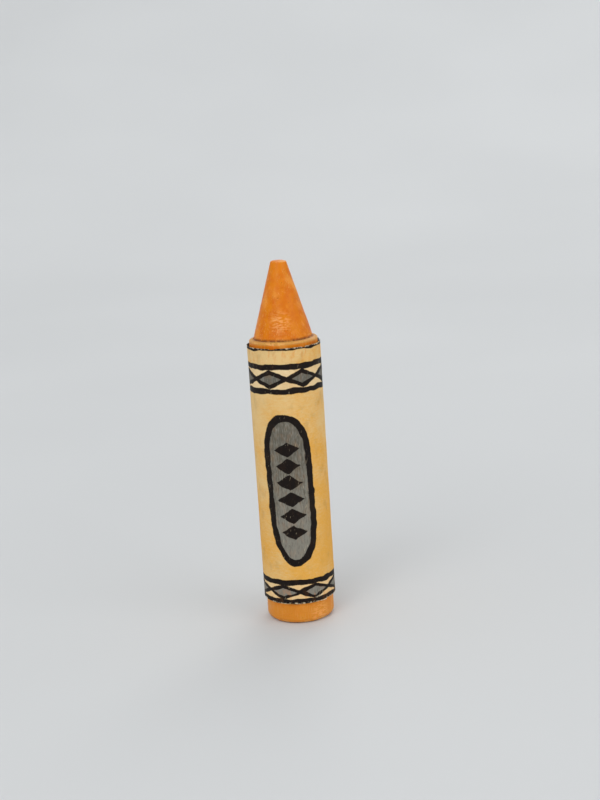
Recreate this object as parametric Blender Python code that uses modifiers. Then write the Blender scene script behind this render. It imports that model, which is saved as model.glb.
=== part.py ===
"""A chunky wax crayon in its pasted paper label, standing on its butt end.

+Z runs up the crayon's axis, from the flat butt to the writing tip. The origin is the centre of the butt.
The wax is one casting. The label is one strip of paper, wound round the barrel and pasted all over its back.
"""

import math

import bmesh
import bpy
from mathutils import Vector

MM = 0.001

# The casting
BARREL_LENGTH = 63.3 * MM
BARREL_DIAMETER = 15.0 * MM
SHOULDER_WIDTH = 0.95 * MM
CONE_LENGTH = 16.7 * MM
TIP_DIAMETER = 3.4 * MM
TIP_EDGE_RADIUS = 0.5 * MM
CONE_ROOT_RADIUS = 0.5 * MM
SHOULDER_EDGE_RADIUS = 0.4 * MM
BUTT_EDGE_RADIUS = 1.3 * MM
SINK_DIAMETER = 7.0 * MM
SINK_DEPTH = 0.25 * MM

# The label and the paste on its back
PAPER_THICKNESS = 0.10 * MM
PASTE_THICKNESS = 0.04 * MM
LAYER_GAP = 0.04 * MM
SHOULDER_SHOWING = 1.1 * MM
BUTT_SHOWING = 5.0 * MM
PASTE_MARGIN = 0.8 * MM
FULL_TURNS = 2
LAP_STEPS = 8
CLIMB_STEPS = 4
SEAM_DIRECTION = math.radians(68.0)

# How finely the round faces are divided
ROUND_STEPS = 96
FILLET_STEPS = 6
SINK_STEPS = 6

STEP_ANGLE = 2 * math.pi / ROUND_STEPS
CONE_BASE_RADIUS = BARREL_DIAMETER / 2 - SHOULDER_WIDTH
PASTE_RADIUS = BARREL_DIAMETER / 2 + LAYER_GAP
PAPER_RADIUS = PASTE_RADIUS + PASTE_THICKNESS + LAYER_GAP
LAYER_PITCH = PAPER_THICKNESS + PASTE_THICKNESS + 2 * LAYER_GAP
LABEL_BOTTOM = BUTT_SHOWING
LABEL_TOP = BARREL_LENGTH - SHOULDER_SHOWING
WOUND_STEPS = FULL_TURNS * ROUND_STEPS + LAP_STEPS


def clear_scene():
    for obj in list(bpy.data.objects):
        bpy.data.objects.remove(obj)


def new_collection(name):
    collection = bpy.data.collections.new(name)
    bpy.context.scene.collection.children.link(collection)
    return collection


def new_material(name, colour, roughness):
    """A non-metallic material of one colour, given as linear red, green and blue."""
    material = bpy.data.materials.new(name)
    material.use_nodes = True
    shader = material.node_tree.nodes["Principled BSDF"]
    shader.inputs["Base Color"].default_value = (*colour, 1.0)
    shader.inputs["Roughness"].default_value = roughness
    shader.inputs["Metallic"].default_value = 0.0
    return material


def fillet(before, corner, after, radius):
    """Points of the arc that rounds an outline's corner."""
    to_before = (before - corner).normalized()
    to_after = (after - corner).normalized()
    half_angle = to_before.angle(to_after) / 2
    centre = corner + (to_before + to_after).normalized() * radius / math.sin(half_angle)
    first = corner + to_before * radius / math.tan(half_angle) - centre
    last = corner + to_after * radius / math.tan(half_angle) - centre
    return [
        centre + first.slerp(last, step / FILLET_STEPS) * radius
        for step in range(FILLET_STEPS + 1)
    ]


def sink_outline():
    """The shallow dish that shrinkage leaves in the butt, from its rim to the axis."""
    points = []
    for step in range(SINK_STEPS + 1):
        share = 1 - step / SINK_STEPS
        points.append(Vector((share * SINK_DIAMETER / 2, SINK_DEPTH * (1 - share**2) ** 2)))
    return points


def stick_outline():
    """Half of the casting's section as (radius, height), down its outer side from the tip to the butt."""
    total_length = BARREL_LENGTH + CONE_LENGTH
    corners = [
        (0.0, total_length, None),
        (TIP_DIAMETER / 2, total_length, TIP_EDGE_RADIUS),
        (CONE_BASE_RADIUS, BARREL_LENGTH, CONE_ROOT_RADIUS),
        (BARREL_DIAMETER / 2, BARREL_LENGTH, SHOULDER_EDGE_RADIUS),
        (BARREL_DIAMETER / 2, 0.0, BUTT_EDGE_RADIUS),
        (SINK_DIAMETER / 2, 0.0, None),
    ]
    places = [Vector(corner[:2]) for corner in corners]
    outline = [places[0]]
    for index in range(1, len(corners) - 1):
        outline += fillet(*places[index - 1 : index + 2], corners[index][2])
    return outline + sink_outline()


def build_wax_stick(collection, material):
    """The casting, turned from its half section."""
    outline = stick_outline()
    mesh = bpy.data.meshes.new("wax_stick")
    mesh.from_pydata(
        [(radius, 0.0, height) for radius, height in outline],
        [(index, index + 1) for index in range(len(outline) - 1)],
        [],
    )
    mesh.materials.append(material)
    stick = bpy.data.objects.new("wax_stick", mesh)
    collection.objects.link(stick)
    turned = stick.modifiers.new("Turned", "SCREW")
    turned.axis = "Z"
    turned.steps = ROUND_STEPS
    turned.render_steps = ROUND_STEPS
    turned.use_merge_vertices = True
    turned.merge_threshold = 0.001 * MM
    turned.use_smooth_shade = False
    return stick


def wound_radius(step, first_radius):
    """Radius of a wound layer's inner face. It is constant round each turn, until the turn's last few steps
    climb by one layer, over the strip's own first edge."""
    turns, within = divmod(step, ROUND_STEPS)
    climb = max(0.0, (within - (ROUND_STEPS - CLIMB_STEPS)) / CLIMB_STEPS)
    eased = climb * climb * (3 - 2 * climb)
    return first_radius + (turns + eased) * LAYER_PITCH


def build_wound_layer(name, collection, material, first_radius, thickness, steps, heights):
    """A layer wound round the barrel, from the first to the last of steps and between two heights."""
    shape = bmesh.new()
    points = []
    for step in range(steps[0], steps[1] + 1):
        angle = SEAM_DIRECTION + step * STEP_ANGLE
        radius = wound_radius(step, first_radius)
        points.append(
            shape.verts.new((radius * math.cos(angle), radius * math.sin(angle), heights[0]))
        )
    edges = [shape.edges.new(pair) for pair in zip(points, points[1:])]
    raised = bmesh.ops.extrude_edge_only(shape, edges=edges)["geom"]
    raised_points = [item for item in raised if isinstance(item, bmesh.types.BMVert)]
    bmesh.ops.translate(shape, verts=raised_points, vec=(0.0, 0.0, heights[1] - heights[0]))
    shape.normal_update()
    inward = [
        face
        for face in shape.faces
        if face.normal.dot(face.calc_center_median() * Vector((1.0, 1.0, 0.0))) < 0
    ]
    bmesh.ops.reverse_faces(shape, faces=inward)
    mesh = bpy.data.meshes.new(name)
    shape.to_mesh(mesh)
    shape.free()
    mesh.materials.append(material)
    layer = bpy.data.objects.new(name, mesh)
    collection.objects.link(layer)
    wall = layer.modifiers.new("Wall", "SOLIDIFY")
    wall.thickness = thickness
    wall.offset = 1.0
    wall.use_even_offset = True
    return layer


def build_paste_film(collection, material):
    """The dried paste, which covers the strip's back and stops short of its edges."""
    return build_wound_layer(
        "paste_film",
        collection,
        material,
        PASTE_RADIUS,
        PASTE_THICKNESS,
        (1, WOUND_STEPS - 1),
        (LABEL_BOTTOM + PASTE_MARGIN, LABEL_TOP - PASTE_MARGIN),
    )


def build_paper_label(collection, material):
    """The printed strip, two turns and a lap long."""
    return build_wound_layer(
        "paper_label",
        collection,
        material,
        PAPER_RADIUS,
        PAPER_THICKNESS,
        (0, WOUND_STEPS),
        (LABEL_BOTTOM, LABEL_TOP),
    )


def main():
    clear_scene()
    crayon = new_collection("crayon")
    build_wax_stick(crayon, new_material("orange wax", (0.72, 0.19, 0.006), 0.42))
    build_paste_film(crayon, new_material("dried starch paste", (0.72, 0.66, 0.50), 0.60))
    build_paper_label(crayon, new_material("printed label paper", (0.74, 0.47, 0.15), 0.75))


main()
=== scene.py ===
"""A chunky wax crayon in its wound paper label: the casting, the paste and the printed strip, finished."""

import math
import random

import bmesh
import bpy
import numpy as np
from mathutils import Matrix, Vector, noise


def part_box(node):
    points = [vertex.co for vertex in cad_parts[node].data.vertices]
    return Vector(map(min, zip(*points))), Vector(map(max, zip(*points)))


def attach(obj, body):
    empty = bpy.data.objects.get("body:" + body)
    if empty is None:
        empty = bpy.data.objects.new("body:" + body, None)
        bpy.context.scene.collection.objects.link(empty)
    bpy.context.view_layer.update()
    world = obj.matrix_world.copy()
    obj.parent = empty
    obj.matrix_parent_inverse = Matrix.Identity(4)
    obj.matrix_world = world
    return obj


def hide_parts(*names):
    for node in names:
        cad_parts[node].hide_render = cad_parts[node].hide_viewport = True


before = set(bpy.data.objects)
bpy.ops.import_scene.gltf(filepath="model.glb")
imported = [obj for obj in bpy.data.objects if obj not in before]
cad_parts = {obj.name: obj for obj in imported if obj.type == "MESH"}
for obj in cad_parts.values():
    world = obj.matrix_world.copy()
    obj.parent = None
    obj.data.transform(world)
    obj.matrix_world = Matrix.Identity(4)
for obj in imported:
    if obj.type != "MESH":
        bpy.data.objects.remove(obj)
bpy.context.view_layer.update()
MM = 0.001

# ---------------------------------------------------------------------------------------------------------
# The casting
# The crayon itself is one piece of pigmented paraffin wax, cast butt end up in a cold metal mould. The
# mould gives the cone, its flat nose and the shoulder their skin. The butt was the open side, and it was
# scraped off level while the wax was warm.
# ---------------------------------------------------------------------------------------------------------
wax_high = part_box("wax_stick")[1]
label_low, label_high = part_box("paper_label")
WAX_RADIUS = wax_high.x
NOSE_HEIGHT = wax_high.z
SHOULDER_SHOWING = 1.1 * MM
SHOULDER_HEIGHT = label_high.z + SHOULDER_SHOWING
SHOULDER_WIDTH = 0.95 * MM
CONE_BASE_RADIUS = WAX_RADIUS - SHOULDER_WIDTH
NOSE_RADIUS = 1.7 * MM
NOSE_EDGE = 0.40 * MM
CONE_ROOT = 0.38 * MM
SHOULDER_EDGE = 0.40 * MM
BUTT_EDGE = 1.3 * MM
SINK_RADIUS = 3.5 * MM
SINK_DEPTH = 0.25 * MM
RIM_POINTS = 240
CONE_ROWS = 110
BUTT_ROWS = 24
SHOULDER_ROWS = 8
NOSE_RINGS = 9
BUTT_RINGS = 44
HIDDEN_MARGIN = 1.5 * MM


def start_editing(mode):
    """Enters edit mode with nothing selected."""
    bpy.ops.object.mode_set(mode="EDIT")
    bpy.ops.mesh.select_mode(type=mode)
    bpy.ops.mesh.select_all(action="DESELECT")


def stop_editing():
    bpy.ops.object.mode_set(mode="OBJECT")


def select_faces(wanted):
    """Selects only the faces whose centre and normal are wanted."""
    bpy.ops.mesh.select_mode(type="FACE")
    bpy.ops.mesh.select_all(action="DESELECT")
    mesh = bpy.context.object.data
    shape = bmesh.from_edit_mesh(mesh)
    for face in shape.faces:
        if wanted(face.calc_center_median(), face.normal):
            face.select_set(True)
    bmesh.update_edit_mesh(mesh)


def select_edges(wanted):
    """Selects only the edges whose two ends are wanted, the lower end first."""
    bpy.ops.mesh.select_mode(type="EDGE")
    bpy.ops.mesh.select_all(action="DESELECT")
    mesh = bpy.context.object.data
    shape = bmesh.from_edit_mesh(mesh)
    for edge in shape.edges:
        low, high = sorted((end.co for end in edge.verts), key=lambda place: place.z)
        if wanted(low, high):
            edge.select_set(True)
    bmesh.update_edit_mesh(mesh)


def round_rim(height, radius, width, segments):
    """Rounds the rim that lies at a height and a radius."""
    reach = 0.01 * MM

    def on_rim(place):
        return abs(place.z - height) < reach and abs(place.xy.length - radius) < reach

    select_edges(lambda low, high: on_rim(low) and on_rim(high))
    bpy.ops.mesh.bevel(offset=width, segments=segments, affect="EDGES")


def cut_rows(bottom, top, rows):
    """Divides the long upright edges that lie between two heights into rows."""
    select_edges(
        lambda low, high: low.z > bottom and high.z < top and high.z - low.z > 0.8 * MM
    )
    bpy.ops.mesh.subdivide(number_cuts=rows - 1)


def ring_the_face(facing, height, radius, rings):
    """Divides a round end face into rings, down to a point in its middle."""
    select_faces(
        lambda centre, normal: normal.z * facing > 0.9
        and abs(centre.z - height) < 0.01 * MM
        and centre.xy.length < 0.01 * MM
    )
    for _ in range(rings - 1):
        bpy.ops.mesh.inset(thickness=radius / rings, depth=0.0)
    bpy.ops.mesh.poke()


bpy.ops.object.select_all(action="DESELECT")
bpy.ops.mesh.primitive_cylinder_add(
    vertices=RIM_POINTS,
    radius=WAX_RADIUS,
    depth=SHOULDER_HEIGHT,
    end_fill_type="NGON",
    location=(0, 0, SHOULDER_HEIGHT / 2),
)
casting = bpy.context.object
casting.name = "cast_wax"
bpy.ops.object.transform_apply(location=True)
start_editing("FACE")
select_faces(lambda centre, normal: normal.z > 0.9)
bpy.ops.mesh.inset(thickness=SHOULDER_WIDTH, depth=0.0)
bpy.ops.mesh.extrude_region_move(
    TRANSFORM_OT_translate={"value": (0, 0, NOSE_HEIGHT - SHOULDER_HEIGHT)}
)
taper = NOSE_RADIUS / CONE_BASE_RADIUS
bpy.ops.transform.resize(value=(taper, taper, 1), center_override=(0, 0, NOSE_HEIGHT))
round_rim(SHOULDER_HEIGHT, CONE_BASE_RADIUS, CONE_ROOT, 6)
round_rim(SHOULDER_HEIGHT, WAX_RADIUS, SHOULDER_EDGE, 6)
round_rim(0.0, WAX_RADIUS, BUTT_EDGE, 12)
round_rim(NOSE_HEIGHT, NOSE_RADIUS, NOSE_EDGE, 6)
bpy.ops.mesh.select_all(action="SELECT")
bpy.ops.mesh.bisect(plane_co=(0, 0, label_low.z + MM), plane_no=(0, 0, 1))
bpy.ops.mesh.select_all(action="SELECT")
bpy.ops.mesh.bisect(plane_co=(0, 0, label_high.z - MM), plane_no=(0, 0, 1))
cut_rows(SHOULDER_HEIGHT, NOSE_HEIGHT, CONE_ROWS)
cut_rows(0.0, label_low.z + HIDDEN_MARGIN, BUTT_ROWS)
cut_rows(label_high.z - HIDDEN_MARGIN, SHOULDER_HEIGHT, SHOULDER_ROWS)
ring_the_face(1, NOSE_HEIGHT, NOSE_RADIUS - NOSE_EDGE, NOSE_RINGS)
ring_the_face(-1, 0.0, WAX_RADIUS - BUTT_EDGE, BUTT_RINGS)
stop_editing()


def read_points(obj):
    places = np.empty(len(obj.data.vertices) * 3)
    obj.data.vertices.foreach_get("co", places)
    return places.reshape(-1, 3)


def write_points(obj, places):
    obj.data.vertices.foreach_set("co", places.ravel())
    obj.data.update()


def facing_of(obj):
    """The way that the surface faces at each point."""
    facing = np.empty(len(obj.data.vertices) * 3)
    obj.data.vertex_normals.foreach_get("vector", facing)
    return facing.reshape(-1, 3)


def bumps(places, size, seed):
    """Smooth unevenness at each place, from about -1 to 1, whose bumps are about a given size."""
    apart = Vector((7.1 * seed, 3.7 * seed, 5.3 * seed))
    return np.array([noise.noise(Vector(place) / size + apart) for place in places])


def ease(values, low, high):
    """From 0 to 1 as values go from low to high, slow at both ends."""
    share = np.clip((values - low) / (high - low), 0, 1)
    return share * share * (3 - 2 * share)


def knock(places, spot, outward, depth, reach, seed):
    """Flattens what stands proud near a spot, as a knock does, and returns how far each point moved."""
    outward = np.array(outward) / np.linalg.norm(outward)
    apart = places - spot
    near = np.linalg.norm(apart, axis=1) < reach
    proud = np.zeros(len(places))
    ripple = 0.05 * MM * bumps(places[near], 0.5 * MM, seed)
    proud[near] = np.maximum(apart[near] @ outward + depth + ripple, 0)
    places -= proud[:, None] * outward
    return proud


# The mould's skin: wide shrinkage dips, a fine ripple, and rings where the wax chilled as the mould filled.
SHRINKAGE_DIP = 0.030 * MM
SKIN_RIPPLE = 0.011 * MM
CHILL_RING = 0.013 * MM
skin = read_points(casting)
height = skin[:, 2].copy()
from_axis = np.hypot(skin[:, 0], skin[:, 1])
bare = 1 - ease(height, label_low.z, label_low.z + MM) * (
    1 - ease(height, label_high.z - 0.5 * MM, label_high.z)
)
chill_rings = bumps(np.column_stack([0 * height, 0 * height, height]), 0.7 * MM, 1)
dip = SHRINKAGE_DIP * (1 + bumps(skin, 3.6 * MM, 2)) + SKIN_RIPPLE * (1 + bumps(skin, 0.9 * MM, 3))
dip += CHILL_RING * (1 + chill_rings) * (from_axis > NOSE_RADIUS)
skin -= facing_of(casting) * (bare * dip)[:, None]

# The scraper leaves fine ridges across the butt, and the wax shrinks to a shallow dish in its middle.
SCRAPE_DIRECTION = math.radians(28)
RIDGE_HEIGHT = 0.06 * MM
RIDGE_SPACING = 0.45 * MM
on_butt = (height < 0.02 * MM) & (from_axis < WAX_RADIUS - BUTT_EDGE + 0.1 * MM)
across = skin[:, 0] * math.sin(SCRAPE_DIRECTION) - skin[:, 1] * math.cos(SCRAPE_DIRECTION)
along = skin[:, 0] * math.cos(SCRAPE_DIRECTION) + skin[:, 1] * math.sin(SCRAPE_DIRECTION)
scraped = np.column_stack([across, 0.06 * along, 0 * along])
ridges = np.abs(bumps(scraped, RIDGE_SPACING, 4)) * RIDGE_HEIGHT
dished = np.clip(1 - (from_axis / SINK_RADIUS) ** 2, 0, 1) ** 2 * SINK_DEPTH
skin[on_butt, 2] = (ridges + dished + 0.25 * dished * bumps(skin, 1.3 * MM, 5))[on_butt]

# Knocks on the three rims and a little wear on the nose. A rim is its radius, its height, the slope that its
# knocks face in degrees, the deepest knock, how far a knock reaches, and how many there are.
dice = random.Random(11)
rubbed = np.zeros(len(skin))
RIMS = (
    (NOSE_RADIUS - 0.12 * MM, NOSE_HEIGHT - 0.12 * MM, 48, 0.09 * MM, 1.0 * MM, 7),
    (WAX_RADIUS - 0.13 * MM, SHOULDER_HEIGHT - 0.13 * MM, 42, 0.15 * MM, 1.6 * MM, 12),
    (WAX_RADIUS - 0.38 * MM, 0.38 * MM, -45, 0.18 * MM, 2.4 * MM, 11),
)
RUBBED_THROUGH = 0.11 * MM
NOSE_WEAR = (0.13, -0.07, 1.0)
NOSE_RUBBED_THROUGH = 0.15 * MM
for rim_radius, rim_height, slope, deepest, reach, count in RIMS:
    for number in range(count):
        turn = 2 * math.pi * (number + dice.uniform(0, 0.9)) / count
        rise = math.radians(slope + dice.uniform(-14, 14))
        spot = np.array(
            [rim_radius * math.cos(turn), rim_radius * math.sin(turn), rim_height]
        )
        outward = (
            math.cos(turn + dice.uniform(-0.3, 0.3)) * math.cos(rise),
            math.sin(turn) * math.cos(rise),
            math.sin(rise),
        )
        depth = deepest * dice.uniform(0.3, 1.0) ** 1.5
        rubbed += knock(skin, spot, outward, depth, reach, number) / RUBBED_THROUGH
rubbed += knock(skin, (0, 0, NOSE_HEIGHT), NOSE_WEAR, 0.05 * MM, 3 * MM, 3) / NOSE_RUBBED_THROUGH

# Small dents in the cone, and the even rubbing that every rim gets.
DENTS = 9
DENT_DEPTH = 0.11
RIM_RUBBING = 0.32 * MM
for _ in range(DENTS):
    turn = dice.uniform(0, 2 * math.pi)
    up = dice.uniform(1.5 * MM, 15 * MM)
    out = CONE_BASE_RADIUS + (NOSE_RADIUS - CONE_BASE_RADIUS) * up / (NOSE_HEIGHT - SHOULDER_HEIGHT)
    spot = (out * math.cos(turn), out * math.sin(turn), SHOULDER_HEIGHT + up)
    wide = dice.uniform(0.35, 0.8) * MM
    pressed = np.exp(-(((skin - spot) ** 2).sum(1)) / wide**2)
    skin -= facing_of(casting) * (pressed * DENT_DEPTH * wide)[:, None]
    rubbed += 0.5 * pressed
for rim_radius, rim_height, *_ in RIMS:
    away = np.hypot(from_axis - rim_radius, height - rim_height)
    rubbed += np.exp(-((away / RIM_RUBBING) ** 2)) * (0.45 + 0.5 * bumps(skin, 1.4 * MM, 6))
skin[:, 2] = np.clip(skin[:, 2], 0, NOSE_HEIGHT)
write_points(casting, skin)
casting.data.attributes.new("rubbed", "FLOAT", "POINT").data.foreach_set(
    "value", np.clip(rubbed, 0, 1).astype(np.float32)
)
bpy.ops.object.shade_smooth()


def colour(red, green, blue):
    """A colour as a paint chart gives it, 0 to 255, in the linear numbers that a shader takes."""
    shares = [part / 255 for part in (red, green, blue)]
    return tuple(((part + 0.055) / 1.055) ** 2.4 for part in shares) + (1.0,)


def add(tree, kind, inputs=None, **settings):
    """Adds a node, makes its settings, and links or sets its inputs."""
    made = tree.nodes.new("ShaderNode" + kind)
    for name, value in settings.items():
        setattr(made, name, value)
    for socket, value in (inputs or {}).items():
        if isinstance(value, bpy.types.NodeSocket):
            tree.links.new(value, made.inputs[socket])
        else:
            made.inputs[socket].default_value = value
    return made


def maths(tree, operation, *values):
    return add(tree, "Math", dict(enumerate(values)), operation=operation).outputs[0]


def grade(tree, value, low, high, least=0.0, most=1.0):
    """Goes smoothly from least to most while value goes from low to high."""
    limits = {"Value": value, "From Min": low, "From Max": high, "To Min": least, "To Max": most}
    return add(tree, "MapRange", limits, interpolation_type="SMOOTHSTEP").outputs[0]


def coat(tree, share, under, over):
    """One colour over another, of which a share shows."""
    return add(tree, "Mix", {0: share, 6: under, 7: over}, data_type="RGBA").outputs[2]


def mottle(tree, place, size, detail=2.0, offset=(0, 0, 0)):
    """Soft blotches of about a size, which may differ along each axis, as a value round 0.5."""
    sizes = size if isinstance(size, tuple) else (size, size, size)
    scaled = add(
        tree, "Mapping", {"Vector": place, "Location": offset, "Scale": tuple(1 / x for x in sizes)}
    )
    return add(
        tree, "TexNoise", {"Vector": scaled.outputs[0], "Scale": 1.0, "Detail": detail}
    ).outputs[0]


def new_group(name, inputs, outputs):
    """An empty shader group with named sockets, given as (name, type, value)."""
    group = bpy.data.node_groups.new(name, "ShaderNodeTree")
    for label, kind, value in inputs:
        socket = group.interface.new_socket(label, in_out="INPUT", socket_type="NodeSocket" + kind)
        if value is not None:
            socket.default_value = value
    for label, kind in outputs:
        group.interface.new_socket(label, in_out="OUTPUT", socket_type="NodeSocket" + kind)
    return group, group.nodes.new("NodeGroupInput").outputs, group.nodes.new("NodeGroupOutput").inputs


# Fine scratches: thin lines along the pattern's Z, in patches. Place is in the piece's own metres.
scratches, given, result = new_group(
    "Fine scratches",
    [("Place", "Vector", None), ("Length", "Float", 4 * MM), ("Width", "Float", 0.2 * MM),
     ("Amount", "Float", 0.5)],
    [("Scratched", "Float")],
)
narrow = maths(scratches, "DIVIDE", 1.0, given["Width"])
long = maths(scratches, "DIVIDE", 1.0, given["Length"])
drawn_out = add(scratches, "CombineXYZ", {0: narrow, 1: narrow, 2: long})
stretched = add(scratches, "VectorMath", {0: given["Place"], 1: drawn_out.outputs[0]}, operation="MULTIPLY")
lines = add(scratches, "TexNoise", {"Vector": stretched.outputs[0], "Scale": 1.0, "Detail": 1.5})
patches = mottle(scratches, given["Place"], 3.0 * MM, 1.0)
limit = maths(scratches, "MULTIPLY_ADD", given["Amount"], -0.12, 0.70)
cut = grade(scratches, lines.outputs[0], limit, maths(scratches, "ADD", limit, 0.05))
scratches.links.new(
    maths(scratches, "MULTIPLY", cut, grade(scratches, patches, 0.40, 0.60)), result["Scratched"]
)

# Broken wear: an edge's even wear mask, broken up into spots and runs.
wear, given, result = new_group(
    "Broken wear",
    [("Place", "Vector", None), ("Edge", "Float", 0.0), ("Size", "Float", 0.5 * MM),
     ("Softness", "Float", 0.1)],
    [("Worn", "Float")],
)
shrunk = add(
    wear, "VectorMath", {0: given["Place"], 3: maths(wear, "DIVIDE", 1.0, given["Size"])}, operation="SCALE"
)
broken = add(wear, "TexNoise", {"Vector": shrunk.outputs[0], "Scale": 1.0, "Detail": 3.0})
spots = maths(wear, "MULTIPLY_ADD", maths(wear, "SUBTRACT", broken.outputs[0], 0.5), 2.2, given["Edge"])
first_worn = maths(wear, "SUBTRACT", 0.52, given["Softness"])
all_worn = maths(wear, "ADD", 0.52, given["Softness"])
only_near = grade(wear, given["Edge"], 0.0, 0.25)
worn = maths(wear, "MULTIPLY", grade(wear, spots, first_worn, all_worn), only_near)
wear.links.new(worn, result["Worn"])


def new_material(name):
    """A material, its tree, its shader and the piece's own coordinates."""
    material = bpy.data.materials.new(name)
    material.use_nodes = True
    tree = material.node_tree
    return material, tree, tree.nodes["Principled BSDF"], add(tree, "TexCoord").outputs["Object"]


def finish_surface(tree, shader, height, depth, **inputs):
    """Feeds the shader, and its normal from a height pattern that is so deep."""
    bump = add(tree, "Bump", {"Height": height, "Distance": depth, "Strength": 1.0})
    tree.links.new(bump.outputs[0], shader.inputs["Normal"])
    for name, value in inputs.items():
        tree.links.new(value, shader.inputs[name.replace("_", " ")])


WAX_DEEP = colour(217, 114, 0)
WAX_MIDDLE = colour(224, 128, 0)
WAX_BLOOM = colour(244, 164, 70)
WAX_RUBBED = colour(246, 172, 96)
WAX_SHAVED = colour(242, 180, 104)
RUBBED_PATCHES = (
    (-0.4 * MM, -5.6 * MM, SHOULDER_HEIGHT + 4.2 * MM),
    (4.4 * MM, -6.0 * MM, 1.9 * MM),
)
# A dark wax colour, used both for grime specks and for the painted shade in the cone's root.
WAX_GRIME_AND_ROOT_SHADE = colour(104, 46, 8)
WAX_SHOULDER = colour(202, 152, 78)
WAX_BUTT = colour(220, 142, 46)
wax, tree, shader, place = new_material("orange wax")
rise = add(tree, "SeparateXYZ", {0: place}).outputs["Z"]
body = coat(tree, grade(tree, mottle(tree, place, 2.2 * MM, 3.0), 0.35, 0.65), WAX_DEEP, WAX_MIDDLE)
patches = mottle(tree, place, (3.4 * MM, 3.4 * MM, 5.0 * MM), 3.0, (0.3, 0.8, 0.1))
grains = grade(tree, mottle(tree, place, 0.35 * MM, 2.0), 0.25, 0.60, 0.45, 1.0)
bloomed = maths(tree, "MULTIPLY", grade(tree, patches, 0.50, 0.66, 0, 0.58), grains)
body = coat(tree, bloomed, body, WAX_BLOOM)
on_shoulder = maths(
    tree, "MULTIPLY",
    grade(tree, rise, SHOULDER_HEIGHT - 0.8 * MM, SHOULDER_HEIGHT - 0.3 * MM),
    grade(tree, rise, SHOULDER_HEIGHT + 0.35 * MM, SHOULDER_HEIGHT + 0.05 * MM, 0, 0.85),
)
body = coat(tree, on_shoulder, body, WAX_SHOULDER)
body = coat(tree, grade(tree, rise, 7 * MM, 3 * MM, 0, 0.8), body, WAX_BUTT)
streaks = grade(tree, mottle(tree, place, (0.9 * MM, 0.9 * MM, 0.35 * MM), 3.0, (1, 1, 5)), 0.42, 0.62)
for patch in RUBBED_PATCHES:
    away = add(tree, "VectorMath", {0: place, 1: patch}, operation="DISTANCE").outputs["Value"]
    share = maths(tree, "MULTIPLY", grade(tree, away, 3.4 * MM, 0.6 * MM, 0, 0.75), streaks)
    body = coat(tree, share, body, WAX_RUBBED)
turned = add(tree, "Mapping", {"Vector": place, "Rotation": (0, 0, -SCRAPE_DIRECTION)}).outputs[0]
scrapes = mottle(tree, turned, (6 * MM, 0.16 * MM, 2 * MM), 4.0, (3, 3, 0))
scrapes = maths(tree, "MULTIPLY", scrapes, grade(tree, rise, 0.55 * MM, 0.35 * MM))
body = coat(tree, grade(tree, scrapes, 0.46, 0.70, 0, 0.28), body, WAX_SHAVED)
lines = add(
    tree, "Group", {"Place": place, "Length": 5 * MM, "Width": 0.16 * MM, "Amount": 0.7},
    node_tree=scratches,
)
turned = add(tree, "Mapping", {"Vector": place, "Rotation": (0.9, 0.5, 0.3)})
stray = add(
    tree, "Group", {"Place": turned.outputs[0], "Length": 3 * MM, "Width": 0.12 * MM, "Amount": 0.4},
    node_tree=scratches,
)
scratched = maths(tree, "MAXIMUM", lines.outputs[0], stray.outputs[0])
rubbed_away = add(tree, "Attribute", attribute_name="rubbed").outputs["Fac"]
worn = add(
    tree, "Group", {"Place": place, "Edge": rubbed_away, "Size": 0.5 * MM, "Softness": 0.38}, node_tree=wear
).outputs[0]
body = coat(tree, maths(tree, "MULTIPLY", scratched, 0.38), body, WAX_SHAVED)
body = coat(tree, maths(tree, "MULTIPLY", worn, 0.48), body, WAX_SHAVED)
# Painted shade: the wax is darkened with the dark grime colour in a broken band in the corner where the cone
# rises from the shoulder, where shade falls.
painted_root_shade = maths(
    tree, "MULTIPLY",
    grade(tree, rise, SHOULDER_HEIGHT - 0.02 * MM, SHOULDER_HEIGHT + 0.10 * MM),
    grade(tree, rise, SHOULDER_HEIGHT + 0.75 * MM, SHOULDER_HEIGHT + 0.15 * MM),
)
painted_root_shade = maths(tree, "MULTIPLY", painted_root_shade, grade(tree, mottle(tree, place, 0.6 * MM), 0.3, 0.6, 0.4, 0.9))
body = coat(tree, painted_root_shade, body, WAX_GRIME_AND_ROOT_SHADE)
specks = grade(tree, mottle(tree, place, 0.28 * MM, 1.0, (4, 2, 7)), 0.73, 0.78, 0, 0.55)
body = coat(tree, specks, body, WAX_GRIME_AND_ROOT_SHADE)
roughness = grade(tree, mottle(tree, place, 1.6 * MM, 3.0, (2, 5, 1)), 0.3, 0.7, 0.34, 0.50)
roughness = maths(tree, "MULTIPLY_ADD", maths(tree, "MAXIMUM", worn, bloomed), 0.16, roughness)
relief = maths(tree, "MULTIPLY", mottle(tree, place, 0.45 * MM, 3.0), 0.5)
relief = maths(tree, "MULTIPLY_ADD", scratched, -0.6, relief)
relief = maths(tree, "MULTIPLY_ADD", scrapes, 1.4, relief)
finish_surface(tree, shader, relief, 0.05 * MM, Base_Color=body, Roughness=roughness)
shader.inputs["Subsurface Weight"].default_value = 0.25
shader.inputs["Subsurface Radius"].default_value = (1.0, 0.45, 0.10)
shader.inputs["Subsurface Scale"].default_value = 0.7 * MM
shader.inputs["IOR"].default_value = 1.44
shader.inputs["Specular IOR Level"].default_value = 0.24
casting.data.materials.clear()
casting.data.materials.append(wax)
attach(casting, "root")
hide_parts("wax_stick")

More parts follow.
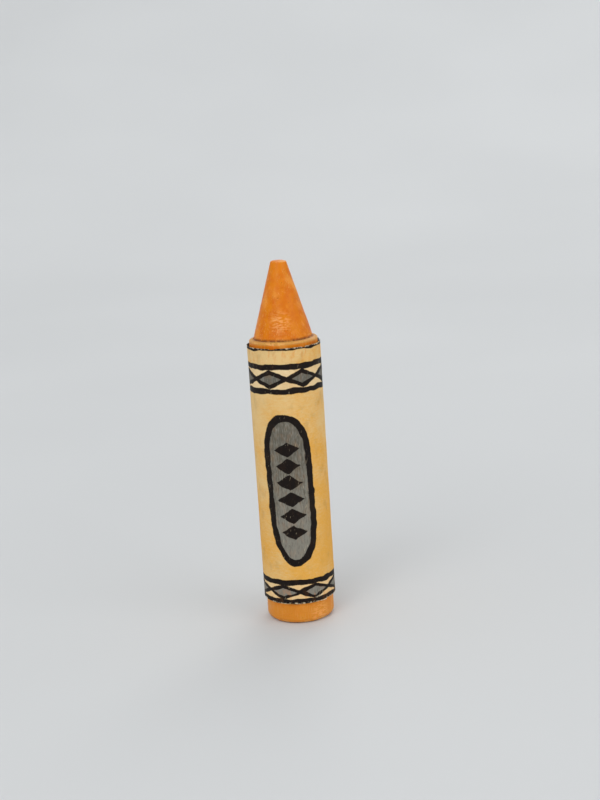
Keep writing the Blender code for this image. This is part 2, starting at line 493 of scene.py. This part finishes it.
# ---------------------------------------------------------------------------------------------------------
# The label
# The label is one strip of soft uncoated paper, printed and cut flat, pasted all over its back, and wound
# twice round the barrel with a short lap. Its free edge is at the back, where its top corner is loose.
# ---------------------------------------------------------------------------------------------------------
PAPER_THICKNESS = 0.10 * MM
LAYER_PITCH = 0.22 * MM
SEAM_DIRECTION = math.radians(68)
FRONT_DIRECTION = math.radians(270)
LAP = math.radians(30)
CLIMB = math.radians(15)
ONE_TURN = 2 * math.pi
WINDING = 2 * ONE_TURN + LAP
FRONT_TURNED = ONE_TURN + FRONT_DIRECTION - SEAM_DIRECTION
OUTER_RADIUS = -label_low.y
SKEW = 0.22 * MM
STRIP_COLUMNS = 312
STRIP_ROWS = 148
HIDDEN_SHARE = 0.18
SHARP_ANGLE = math.radians(50)


def pressed_in(values, low, high, dense):
    """Spreads values from 0 to 1 between two limits, closer together at both ends."""
    eased = (1 - np.cos(math.pi * values)) / 2
    return low + (high - low) * (dense * values + (1 - dense) * eased)


def wound_radius(turned, first_radius):
    """A wound layer's radius, which climbs by one layer at each turn's end, over the strip's first edge."""
    turns = np.floor(turned / ONE_TURN)
    climb = ease(turned - turns * ONE_TURN, ONE_TURN - CLIMB, ONE_TURN)
    return first_radius + (turns + climb) * LAYER_PITCH


def lay_strip(obj, first_radius, turned, height, lift):
    """Winds a flat strip's points round the barrel, one layer on another, each lifted a little."""
    radius = wound_radius(turned, first_radius) + lift
    angle = SEAM_DIRECTION + turned
    wound = np.column_stack([radius * np.cos(angle), radius * np.sin(angle), height])
    write_points(obj, wound)


# A crease is where it starts round the barrel and up it, its length, its slope, its width and its height.
dice = random.Random(4)
CREASES = [
    (
        dice.uniform(0, ONE_TURN),
        label_high.z - dice.uniform(0, 5) * MM if number % 3 else label_low.z + dice.uniform(0, 5) * MM,
        dice.uniform(3, 9) * MM,
        dice.uniform(-0.9, 0.9),
        dice.uniform(0.22, 0.45) * MM,
        dice.uniform(0.03, 0.07) * MM,
    )
    for number in range(16)
] + [
    (math.radians(236), 52 * MM, 15 * MM, 1.45, 0.30 * MM, 0.05 * MM),
    (math.radians(318), 24 * MM, 12 * MM, 1.20, 0.30 * MM, 0.045 * MM),
    (math.radians(20), 34 * MM, 17 * MM, 1.35, 0.34 * MM, 0.06 * MM),
    (math.radians(140), 22 * MM, 14 * MM, 1.50, 0.32 * MM, 0.055 * MM),
]


def creases_at(angle, height):
    """How high the creases stand at each point."""
    creased = np.zeros(len(height))
    for start, bottom, length, slope, width, rise in CREASES:
        x = ((angle - start + math.pi) % ONE_TURN - math.pi) * OUTER_RADIUS
        y = height - bottom
        along = x * math.cos(slope) + y * math.sin(slope)
        across = y * math.cos(slope) - x * math.sin(slope)
        across += 0.25 * MM * np.sin(along / (1.7 * MM))
        ends = ease(along, 0, 0.25 * length) * (1 - ease(along, 0.6 * length, length))
        creased += rise * ends * np.exp(-((across / width) ** 2))
    return creased


SLACK = 0.045 * MM
PUCKER = 0.012 * MM
TOP_FLARE = 0.10
FOOT_FLARE = 0.05
FLARE_REACH = 1.0 * MM


def loose_paper(turned, height):
    """How far the outer turn stands off the layer below it: slack, creases, and edges that curl."""
    angle = (SEAM_DIRECTION + turned) % ONE_TURN
    around = np.column_stack([np.cos(angle), np.sin(angle), height / OUTER_RADIUS]) * OUTER_RADIUS
    slack = SLACK * np.clip(bumps(around, 5.5 * MM, 21) + 0.3, 0, 1)
    slack += PUCKER * (1 + bumps(around, 1.6 * MM, 22))
    top = ease(height, label_high.z - FLARE_REACH, label_high.z)
    bottom = 1 - ease(height, label_low.z, label_low.z + FLARE_REACH)
    flare = (TOP_FLARE * top + FOOT_FLARE * bottom) * MM * np.clip(0.4 + bumps(around, 3.0 * MM, 23), 0, 1.2)
    outer = ease(turned, ONE_TURN - 0.25, ONE_TURN)
    return outer * (slack + creases_at(angle, height) + flare)


EDGE_LIFT = 0.16 * MM
CORNER_LIFT = 0.42 * MM


def flap_lift(turned, height):
    """How far the lap's free edge and its corners stand up."""
    to_edge = (WINDING - turned) * OUTER_RADIUS
    unstuck = np.clip(0.25 + bumps(np.column_stack([0 * height, 0 * height, height]), 6 * MM, 31), 0, 1)
    edge = EDGE_LIFT * unstuck * (1 - ease(to_edge, 0, 2.2 * MM)) ** 2
    corner = (1 - ease(to_edge, 0, 3.6 * MM)) * ease(height, label_high.z - 5 * MM, label_high.z)
    return np.where(turned > 2 * ONE_TURN, edge + CORNER_LIFT * corner**2, 0)


bpy.ops.object.select_all(action="DESELECT")
bpy.ops.mesh.primitive_grid_add(x_subdivisions=STRIP_COLUMNS, y_subdivisions=STRIP_ROWS, size=2)
strip = bpy.context.object
strip.name = "wound_label"
flat = (read_points(strip) + 1) / 2
turned = np.interp(flat[:, 0], [0, HIDDEN_SHARE, 1], [0, ONE_TURN - 0.3, WINDING])
height = pressed_in(flat[:, 1], label_low.z, label_high.z, 0.42)
around = turned * OUTER_RADIUS

# The knife and handling leave the cut edges a little ragged, with a few nicks. A nick is its place round the
# barrel in degrees, its depth and width in millimetres, and whether it is in the top edge.
RAGGED_TOP = 0.030 * MM
RAGGED_FOOT = 0.035 * MM
RAGGED_REACH = 1.2 * MM
NICK_REACH = 2.2 * MM
to_top = label_high.z - height
to_bottom = height - label_low.z
ragged = bumps(np.column_stack([around, 0 * around, 0 * around]), 0.5 * MM, 41)
height = height - (RAGGED_TOP * (1 + ragged)) * (1 - ease(to_top, 0, RAGGED_REACH))
height = height + (RAGGED_FOOT * (1 - ragged)) * (1 - ease(to_bottom, 0, RAGGED_REACH))
NICKS = ((251, 0.55, 0.7, 1), (302, 0.35, 0.5, 1), (12, 0.8, 0.6, 1), (150, 0.5, 0.9, 1),
         (233, 0.45, 0.6, 0), (289, 0.6, 0.5, 0), (40, 0.7, 0.8, 0), (196, 0.4, 0.5, 0))
for degrees, deep, wide, at_top in NICKS:
    centre = (ONE_TURN + (math.radians(degrees) - SEAM_DIRECTION) % ONE_TURN) * OUTER_RADIUS
    notch = np.clip(1 - np.abs(around - centre) / (wide * MM), 0, 1) ** 0.8 * deep * MM
    held = 1 - ease(to_top if at_top else to_bottom, 0, NICK_REACH)
    height = height + (-notch if at_top else notch) * held
height = height + SKEW * (turned - FRONT_TURNED) / ONE_TURN
height = np.minimum(height, SHOULDER_HEIGHT - 0.3 * MM)

# The print goes by its place on the flat strip in millimetres: X from the panel's middle, Y above the foot.
printed_place = np.column_stack([(around - FRONT_TURNED * OUTER_RADIUS) / MM, height / MM])
corners = np.empty(len(strip.data.loops), np.int32)
strip.data.loops.foreach_get("vertex_index", corners)
strip.data.uv_layers[0].name = "Strip"
strip.data.uv_layers["Strip"].uv.foreach_set("vector", printed_place[corners].astype(np.float32).ravel())
rubbed_creases = creases_at((SEAM_DIRECTION + turned) % ONE_TURN, height) / (0.06 * MM)
strip.data.attributes.new("creased", "FLOAT", "POINT").data.foreach_set(
    "value", np.clip(rubbed_creases, 0, 1).astype(np.float32)
)
lay_strip(
    strip,
    OUTER_RADIUS - PAPER_THICKNESS - LAYER_PITCH,
    turned,
    height,
    loose_paper(turned, height) + flap_lift(turned, height),
)
walls = strip.modifiers.new("Thickness", "SOLIDIFY")
walls.thickness = PAPER_THICKNESS
walls.offset = 1.0
walls.material_offset = 1
walls.material_offset_rim = 1
bpy.ops.object.modifier_apply(modifier=walls.name)
bpy.ops.object.shade_smooth_by_angle(angle=SHARP_ANGLE)


def give_bake_map(obj, main_slot, starts):
    """Lays out the map that the export bakes on: most of it for the outer turn's printed face."""
    mesh = obj.data
    place = np.empty(len(mesh.loops) * 2, np.float32)
    mesh.uv_layers["Strip"].uv.foreach_get("vector", place)
    place = place.reshape(-1, 2).astype(float)
    slot = np.empty(len(mesh.polygons), np.int32)
    mesh.polygons.foreach_get("material_index", slot)
    total = np.empty(len(mesh.polygons), np.int32)
    mesh.polygons.foreach_get("loop_total", total)
    along = (place - place.min(0)) / np.ptp(place, axis=0)
    centre = np.add.reduceat(along[:, 0], np.concatenate([[0], np.cumsum(total)[:-1]])) / total
    outer = np.repeat((slot == main_slot) & (centre > starts), total)
    hidden_outside = np.repeat((slot == main_slot) & (centre <= starts), total)
    u = np.where(outer, (along[:, 0] - starts) / (1 - starts), along[:, 0])
    v = np.where(outer, along[:, 1] * 0.90, np.where(hidden_outside, 0.91, 0.96) + along[:, 1] * 0.035)
    layer = mesh.uv_layers.new(name="OFBake")
    layer.uv.foreach_set("vector", np.column_stack([u, v]).astype(np.float32).ravel())


give_bake_map(strip, 0, (ONE_TURN - 0.1) / WINDING)

# The printing block, in millimetres on the flat strip. A band is the heights of its two lines. A chain of
# lozenges is its band, half of a lozenge's height, and the width of its line.
PRINT_PERIOD = 7.3
UPPER_BAND = (58.1, 52.85)
LOWER_BAND = (9.9, 5.5)
CHAINS = ((UPPER_BAND, 1.62, 0.88), (LOWER_BAND, 1.40, 0.80))
LINE_WIDTH = 1.25
PANEL_LINE_WIDTH = 1.50
KEY_LINE_WIDTH = 0.7
KEY_LINE_BELOW_TOP = 0.25
LOZENGES = 6
LOZENGE_SPACING = 3.75
LOZENGE_HALF_LONG = 2.9
LOZENGE_HALF_TALL = 1.75
LABEL_TOP = label_high.z / MM
LABEL_FOOT = label_low.z / MM
FREE_EDGE = (WINDING - FRONT_TURNED) * OUTER_RADIUS / MM
PANEL_LEFT = 0.6
PANEL_MIDDLE = 30.75
PANEL_HALF_WIDTH = 4.65
PANEL_HALF_LENGTH = 16.35
PANEL_TOP_STRETCH = 1.75
PANEL_FOOT_STRETCH = 2.4
PANEL_SKEW = 0.03
BLUNTNESS = 2.1
PRINT_SHAKE = 0.7


def lozenge(tree, x, y, half_long, half_tall):
    """Distance in millimetres to a lozenge's edge, less than 0 inside it."""
    sum_of_shares = maths(
        tree, "ADD",
        maths(tree, "DIVIDE", maths(tree, "ABSOLUTE", x), half_long),
        maths(tree, "DIVIDE", maths(tree, "ABSOLUTE", y), half_tall),
    )
    slope = math.hypot(1 / half_long, 1 / half_tall)
    return maths(tree, "DIVIDE", maths(tree, "SUBTRACT", sum_of_shares, 1.0), slope)


def stroke(tree, distance, width):
    """Distance to the ink of an outline that is so wide."""
    return maths(tree, "SUBTRACT", maths(tree, "ABSOLUTE", distance), width / 2)


def long_oval(tree, x, up):
    """Distance to the edge of the panel: straight sides, with blunt ends that are drawn out."""
    out = maths(tree, "POWER", maths(tree, "ABSOLUTE", x), BLUNTNESS)
    ends = []
    for way, stretch in ((1, PANEL_TOP_STRETCH), (-1, PANEL_FOOT_STRETCH)):
        straight = PANEL_HALF_LENGTH - PANEL_HALF_WIDTH * stretch
        past = maths(tree, "MULTIPLY_ADD", up, way, -straight)
        past = maths(tree, "DIVIDE", maths(tree, "MAXIMUM", past, 0.0), stretch)
        ends.append((past, stretch))
        out = maths(tree, "ADD", out, maths(tree, "POWER", past, BLUNTNESS))
    out = maths(tree, "POWER", out, 1 / BLUNTNESS)
    side = maths(tree, "POWER", maths(tree, "DIVIDE", maths(tree, "ABSOLUTE", x), out), BLUNTNESS - 1)
    slope = maths(tree, "MULTIPLY", side, side)
    for past, stretch in ends:
        part = maths(tree, "POWER", maths(tree, "DIVIDE", past, out), BLUNTNESS - 1)
        part = maths(tree, "DIVIDE", part, stretch)
        slope = maths(tree, "MULTIPLY_ADD", part, part, slope)
    over = maths(tree, "SUBTRACT", out, PANEL_HALF_WIDTH)
    return maths(tree, "DIVIDE", over, maths(tree, "SQRT", slope))


def nearest(tree, distances):
    first = distances[0]
    for other in distances[1:]:
        first = maths(tree, "MINIMUM", first, other)
    return first


def printed_marks(tree, strip_place):
    """Distances to the label's black print and to its grey print, in millimetres."""
    parts = add(tree, "SeparateXYZ", {0: strip_place})
    x, y = parts.outputs["X"], parts.outputs["Y"]
    black = []
    grey = []
    for line in UPPER_BAND + LOWER_BAND:
        black.append(stroke(tree, maths(tree, "SUBTRACT", y, line), LINE_WIDTH))
    black.append(stroke(tree, maths(tree, "SUBTRACT", y, LABEL_TOP - KEY_LINE_BELOW_TOP), KEY_LINE_WIDTH))
    in_period = maths(tree, "PINGPONG", x, PRINT_PERIOD / 2)
    for (top, bottom), half_tall, line in CHAINS:
        up = maths(tree, "SUBTRACT", y, (top + bottom) / 2)
        from_middle = maths(tree, "SUBTRACT", PRINT_PERIOD / 2, in_period)
        chain = lozenge(tree, from_middle, up, PRINT_PERIOD / 2, half_tall)
        black.append(stroke(tree, chain, line))
        grey.append(chain)
    up = maths(tree, "SUBTRACT", y, PANEL_MIDDLE)
    x = maths(tree, "ADD", maths(tree, "MULTIPLY_ADD", up, PANEL_SKEW, x), PANEL_LEFT)
    panel = long_oval(tree, x, up)
    black.append(stroke(tree, panel, PANEL_LINE_WIDTH))
    grey.append(panel)
    for number in range(LOZENGES):
        along = maths(tree, "SUBTRACT", up, (number - (LOZENGES - 1) / 2) * LOZENGE_SPACING)
        black.append(lozenge(tree, x, along, LOZENGE_HALF_LONG, LOZENGE_HALF_TALL))
    return nearest(tree, black), nearest(tree, grey)


PAPER_PALE = colour(230, 194, 132)
PAPER_STRONG = colour(230, 170, 74)
PAPER_BARE = colour(240, 222, 186)
PRINT_GREY = colour(90, 89, 82)
PRINT_GREY_LIGHT = colour(130, 129, 121)
PRINT_BLACK = colour(20, 12, 8)
PRINT_BLACK_THIN = colour(52, 38, 28)
WAX_STAIN = colour(224, 136, 34)
HANDLING_GRIME = colour(150, 116, 74)
printed, tree, shader, place = new_material("printed label")
strip_place = add(tree, "UVMap", uv_map="Strip").outputs[0]
in_metres = add(tree, "VectorMath", {0: strip_place, 3: MM}, operation="SCALE").outputs[0]
shake = add(tree, "TexNoise", {"Vector": strip_place, "Scale": 0.42, "Detail": 1.0})
shake = add(tree, "VectorMath", {0: shake.outputs["Color"], 1: (0.5, 0.5, 0.5)}, operation="SUBTRACT")
shake = {0: shake.outputs[0], 1: (PRINT_SHAKE, PRINT_SHAKE, 0), 2: strip_place}
black, grey = printed_marks(tree, add(tree, "VectorMath", shake, operation="MULTIPLY_ADD").outputs[0])
tooth = mottle(tree, in_metres, 0.22 * MM, 2.0)
feathering = maths(tree, "SUBTRACT", tooth, 0.5)
swelling = maths(tree, "SUBTRACT", mottle(tree, in_metres, 2.6 * MM, 1.0, (3, 1, 0)), 0.5)
black = maths(tree, "MULTIPLY_ADD", feathering, 0.22, maths(tree, "MULTIPLY_ADD", swelling, -0.55, black))
inked = grade(tree, black, 0.07, -0.07)
greyed = grade(tree, maths(tree, "MULTIPLY_ADD", feathering, 0.3, grey), 0.02, -0.12)
strip_parts = add(tree, "SeparateXYZ", {0: strip_place})
strip_x, strip_y = strip_parts.outputs["X"], strip_parts.outputs["Y"]
tone = maths(
    tree, "ADD",
    maths(tree, "MULTIPLY", mottle(tree, in_metres, 7.0 * MM, 2.0), 0.65),
    maths(tree, "MULTIPLY", mottle(tree, in_metres, (1.2 * MM, 0.4 * MM, MM), 3.0), 0.35),
)
tone = maths(tree, "ADD", tone, grade(tree, strip_y, 62.0, 12.0, -0.08, 0.12))
tone = maths(tree, "ADD", tone, grade(tree, strip_x, -6.0, 5.0, -0.06, 0.06))
sheet_colour = coat(tree, grade(tree, tone, 0.32, 0.72), PAPER_PALE, PAPER_STRONG)
for top, bottom in (UPPER_BAND, LOWER_BAND):
    from_middle = maths(tree, "SUBTRACT", strip_y, (top + bottom) / 2)
    half_tall = (top - bottom) / 2
    in_band = grade(tree, maths(tree, "ABSOLUTE", from_middle), half_tall, half_tall - 0.5, 0, 0.45)
    sheet_colour = coat(tree, in_band, sheet_colour, PAPER_BARE)
sheet_colour = coat(tree, grade(tree, tooth, 0.60, 0.75, 0, 0.35), sheet_colour, PAPER_BARE)
fibres = mottle(tree, in_metres, (1.1 * MM, 0.07 * MM, MM), 2.0, (7, 3, 0))
turned = add(tree, "Mapping", {"Vector": in_metres, "Rotation": (0, 0, 1.1)}).outputs[0]
crossing = mottle(tree, turned, (1.0 * MM, 0.08 * MM, MM), 2.0, (2, 8, 0))
light_fibres = grade(tree, maths(tree, "MAXIMUM", fibres, crossing), 0.60, 0.74, 0, 0.34)
sheet_colour = coat(tree, light_fibres, sheet_colour, PAPER_BARE)
dark_fibres = grade(tree, maths(tree, "MINIMUM", fibres, crossing), 0.36, 0.24, 0, 0.30)
sheet_colour = coat(tree, dark_fibres, sheet_colour, HANDLING_GRIME)
streaks = maths(
    tree, "ADD",
    maths(tree, "MULTIPLY", mottle(tree, in_metres, (0.45 * MM, 6 * MM, MM), 3.0, (5, 5, 0)), 0.45),
    maths(tree, "MULTIPLY", mottle(tree, in_metres, (0.26 * MM, 1.1 * MM, MM), 3.0, (1, 5, 0)), 0.55),
)
streaks = maths(tree, "ADD", streaks, grade(tree, strip_y, 44.0, 18.0, -0.06, 0.10))
grey_colour = coat(tree, grade(tree, streaks, 0.36, 0.66), PRINT_GREY, PRINT_GREY_LIGHT)
sheet_colour = coat(tree, maths(tree, "MULTIPLY", greyed, 0.97), sheet_colour, grey_colour)
thin_ink = grade(tree, mottle(tree, in_metres, 0.5 * MM, 3.0, (1, 9, 0)), 0.58, 0.78, 0, 0.6)
sheet_colour = coat(tree, inked, sheet_colour, coat(tree, thin_ink, PRINT_BLACK, PRINT_BLACK_THIN))
near_ends = maths(
    tree, "MAXIMUM",
    grade(tree, strip_y, LABEL_TOP - 6.0, LABEL_TOP - 0.5, 0.12, 1.0),
    grade(tree, strip_y, LABEL_FOOT + 5.0, LABEL_FOOT + 0.3, 0.12, 1.0),
)
smears = mottle(tree, in_metres, (0.9 * MM, 2.2 * MM, MM), 4.0, (8, 2, 0))
smears = grade(tree, smears, 0.50, 0.66, 0, 0.42)
on_paper = maths(tree, "MULTIPLY_ADD", inked, -0.88, 1.0)
smears = maths(tree, "MULTIPLY", maths(tree, "MULTIPLY", smears, near_ends), on_paper)
sheet_colour = coat(tree, smears, sheet_colour, WAX_STAIN)
handled = mottle(tree, in_metres, (2.6 * MM, 4.0 * MM, MM), 4.0, (2, 6, 0))
handled = grade(tree, handled, 0.52, 0.72, 0, 0.22)
sheet_colour = coat(tree, maths(tree, "MULTIPLY", handled, on_paper), sheet_colour, HANDLING_GRIME)
top_edge = grade(tree, strip_y, LABEL_TOP - 0.45, LABEL_TOP, 0, 0.42)
bottom_edge = grade(tree, strip_y, LABEL_FOOT + 0.50, LABEL_FOOT, 0, 0.42)
free_edge = grade(tree, strip_x, FREE_EDGE - 0.6, FREE_EDGE, 0, 0.55)
edge = maths(tree, "MAXIMUM", maths(tree, "MAXIMUM", top_edge, bottom_edge), free_edge)
worn = add(
    tree, "Group", {"Place": place, "Edge": edge, "Size": 0.6 * MM, "Softness": 0.26}, node_tree=wear
).outputs[0]
turned = add(tree, "Mapping", {"Vector": place, "Rotation": (0.16, -0.22, 0)}).outputs[0]
scuffed = add(
    tree, "Group", {"Place": turned, "Length": 3.0 * MM, "Width": 0.20 * MM, "Amount": 0.2},
    node_tree=scratches,
).outputs[0]
sheet_colour = coat(tree, maths(tree, "MULTIPLY", worn, 0.75), sheet_colour, PAPER_BARE)
creased = add(tree, "Attribute", attribute_name="creased").outputs["Fac"]
creased = maths(tree, "MULTIPLY", maths(tree, "POWER", creased, 6.0), 0.8)
creased = add(
    tree, "Group", {"Place": place, "Edge": creased, "Size": 0.3 * MM, "Softness": 0.35}, node_tree=wear
).outputs[0]
sheet_colour = coat(tree, maths(tree, "MULTIPLY", creased, 0.55), sheet_colour, PAPER_BARE)
sheet_colour = coat(tree, maths(tree, "MULTIPLY", scuffed, 0.25), sheet_colour, PAPER_BARE)
roughness = maths(tree, "MULTIPLY_ADD", inked, -0.20, 0.78)
relief = maths(tree, "MULTIPLY", mottle(tree, in_metres, (0.5 * MM, 0.16 * MM, MM), 4.0), 0.7)
relief = maths(tree, "MULTIPLY_ADD", maths(tree, "ADD", fibres, crossing), 0.35, relief)
relief = maths(tree, "MULTIPLY_ADD", inked, 0.12, relief)
finish_surface(tree, shader, relief, 0.05 * MM, Base_Color=sheet_colour, Roughness=roughness)
shader.inputs["Specular IOR Level"].default_value = 0.15

bare_paper, tree, shader, place = new_material("cut paper edge")
fibres = mottle(tree, place, 0.15 * MM, 3.0)
sheet_colour = coat(tree, grade(tree, fibres, 0.3, 0.7), colour(214, 190, 148), PAPER_BARE)
finish_surface(tree, shader, fibres, 0.03 * MM, Base_Color=sheet_colour)
shader.inputs["Roughness"].default_value = 0.85
strip.data.materials.clear()
strip.data.materials.append(printed)
strip.data.materials.append(bare_paper)
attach(strip, "root")
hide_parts("paper_label")

# ---------------------------------------------------------------------------------------------------------
# The paste
# Maize starch paste is brushed over the strip's whole back before it is wound. It dries to a thin,
# yellowish, slightly glossy film, and a little of it squeezes out past the label's lower edge.
# ---------------------------------------------------------------------------------------------------------
PASTE_THICKNESS = 0.04 * MM
PASTE_MARGIN = 0.8 * MM
PASTE_GAP = 0.04 * MM
FIRST_PASTE_RADIUS = WAX_RADIUS + PASTE_GAP
PASTE_COLUMNS = 420
PASTE_ROWS = 36
SQUEEZED_OUT = 0.45 * MM

bpy.ops.object.select_all(action="DESELECT")
bpy.ops.mesh.primitive_grid_add(x_subdivisions=PASTE_COLUMNS, y_subdivisions=PASTE_ROWS, size=2)
paste = bpy.context.object
paste.name = "starch_paste_film"
flat = (read_points(paste) + 1) / 2
turned = flat[:, 0] * (WINDING - 0.5 * PASTE_MARGIN / OUTER_RADIUS)
around = np.column_stack([turned * OUTER_RADIUS, 0 * turned, 0 * turned])
squeezed = np.clip(0.15 + 1.5 * bumps(around, 2.4 * MM, 51) + 0.4 * bumps(around, 0.5 * MM, 52), 0, 1)
squeezed *= turned < ONE_TURN - CLIMB
bottom = label_low.z + PASTE_MARGIN - (PASTE_MARGIN + SQUEEZED_OUT) * squeezed
height = bottom + (label_high.z - PASTE_MARGIN - bottom) * pressed_in(flat[:, 1], 0, 1, 0.3)
lay_strip(paste, FIRST_PASTE_RADIUS, turned, height, loose_paper(turned, height))
walls = paste.modifiers.new("Thickness", "SOLIDIFY")
walls.thickness = PASTE_THICKNESS
walls.offset = 1.0
bpy.ops.object.modifier_apply(modifier=walls.name)
bpy.ops.object.shade_smooth_by_angle(angle=SHARP_ANGLE)

dried, tree, shader, place = new_material("dried starch paste")
brushed = mottle(tree, place, (0.5 * MM, 0.5 * MM, 5 * MM), 3.0)
film_colour = coat(tree, grade(tree, brushed, 0.35, 0.65), colour(222, 202, 160), colour(238, 226, 196))
finish_surface(tree, shader, brushed, 0.02 * MM, Base_Color=film_colour)
shader.inputs["Roughness"].default_value = 0.35
paste.data.materials.clear()
paste.data.materials.append(dried)
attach(paste, "root")
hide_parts("paste_film")

# ---------------------------------------------------------------------------------------------------------
# The studio
# A plain pale floor that rises all round into a pale wall, soft lights, and a camera that looks down a
# little on the crayon and is tipped slightly, so that the crayon leans to the left.
# ---------------------------------------------------------------------------------------------------------
COVE_POINTS = 96
COVE_FLOOR = 0.45
COVE_BEND = 1.2
BEND_STEPS = 13
BEND_STEP = math.radians(5)
bpy.ops.object.select_all(action="DESELECT")
bpy.ops.mesh.primitive_circle_add(vertices=COVE_POINTS, radius=COVE_FLOOR, fill_type="NGON")
cove = bpy.context.object
cove.name = "studio_cove"
start_editing("EDGE")
select_edges(lambda low, high: True)
for step in range(BEND_STEPS):
    low_angle = BEND_STEP * step
    high_angle = low_angle + BEND_STEP
    radius = COVE_FLOOR + COVE_BEND * math.sin(low_angle)
    grow = (COVE_FLOOR + COVE_BEND * math.sin(high_angle)) / radius
    rise = COVE_BEND * (math.cos(low_angle) - math.cos(high_angle))
    bpy.ops.mesh.extrude_edges_move(TRANSFORM_OT_translate={"value": (0, 0, rise)})
    bpy.ops.transform.resize(value=(grow, grow, 1), center_override=(0, 0, 0))
bpy.ops.mesh.select_all(action="SELECT")
bpy.ops.mesh.normals_make_consistent(inside=True)
stop_editing()
bpy.ops.object.shade_smooth()
paint, tree, shader, place = new_material("studio paint")
tone = grade(tree, mottle(tree, place, 0.25, 2.0), 0.3, 0.7)
tree.links.new(coat(tree, tone, colour(205, 207, 208), colour(209, 211, 212)), shader.inputs["Base Color"])
shader.inputs["Roughness"].default_value = 0.9
cove.data.materials.append(paint)

# A window is its name, the way it faces in degrees, and its strength. A soft light is its name, its place,
# its size and its power.
crayon_middle = Vector((0, 0, NOSE_HEIGHT / 2))
WINDOW_SLOPE = math.radians(50)
WINDOW_WIDTH = math.radians(40)
ROOM_STRENGTH = 0.62
WINDOWS = (("front_window", -20, 0.78), ("back_window", 160, 0.32))
for name, turn, strength in WINDOWS:
    bpy.ops.object.light_add(type="SUN", rotation=(WINDOW_SLOPE, 0, math.radians(turn)))
    bpy.context.object.name = name
    bpy.context.object.data.energy = strength
    bpy.context.object.data.angle = WINDOW_WIDTH
SOFT_LIGHTS = (
    ("key_light", (-0.55, -0.70, 0.75), 0.60, 1.35),
    ("fill_light", (0.80, -0.55, 0.45), 0.70, 2.3),
    ("back_light", (0.25, 0.85, 0.85), 0.60, 1.5),
)
for name, spot, size, power in SOFT_LIGHTS:
    bpy.ops.object.light_add(type="AREA", location=spot)
    light = bpy.context.object
    light.name = name
    light.rotation_euler = (crayon_middle - Vector(spot)).to_track_quat("-Z", "Y").to_euler()
    light.data.size = size
    light.data.energy = power
world = bpy.data.worlds.new("pale room")
world.use_nodes = True
world.node_tree.nodes["Background"].inputs["Color"].default_value = (0.98, 0.99, 1.0, 1.0)
world.node_tree.nodes["Background"].inputs["Strength"].default_value = ROOM_STRENGTH
bpy.context.scene.world = world

CAMERA_DISTANCE = 0.300
CAMERA_LENS = 61.2
CAMERA_HEIGHT_ANGLE = math.radians(14.0)
CAMERA_TIP = math.radians(-3.8)
CRAYON_LEFT_OF_MIDDLE = math.radians(0.42)
CRAYON_BELOW_MIDDLE = math.radians(1.73)
away = Vector((0, -math.cos(CAMERA_HEIGHT_ANGLE), math.sin(CAMERA_HEIGHT_ANGLE)))
bpy.ops.object.camera_add(location=crayon_middle + away * CAMERA_DISTANCE)
camera = bpy.context.object
level = (-away).to_track_quat("-Z", "Y").to_matrix()
tipped = Matrix.Rotation(CAMERA_TIP, 3, "Z")
towards_crayon = Vector((-math.tan(CRAYON_LEFT_OF_MIDDLE), -math.tan(CRAYON_BELOW_MIDDLE), -1))
aside = Vector((0, 0, -1)).rotation_difference(towards_crayon).to_matrix()
camera.rotation_euler = (level @ tipped @ aside.inverted()).to_euler()
camera.data.lens = CAMERA_LENS
camera.data.sensor_width = 36
camera.data.clip_start = 0.01
camera.data.clip_end = 20
bpy.context.scene.camera = camera
bpy.context.scene.view_settings.view_transform = "Standard"
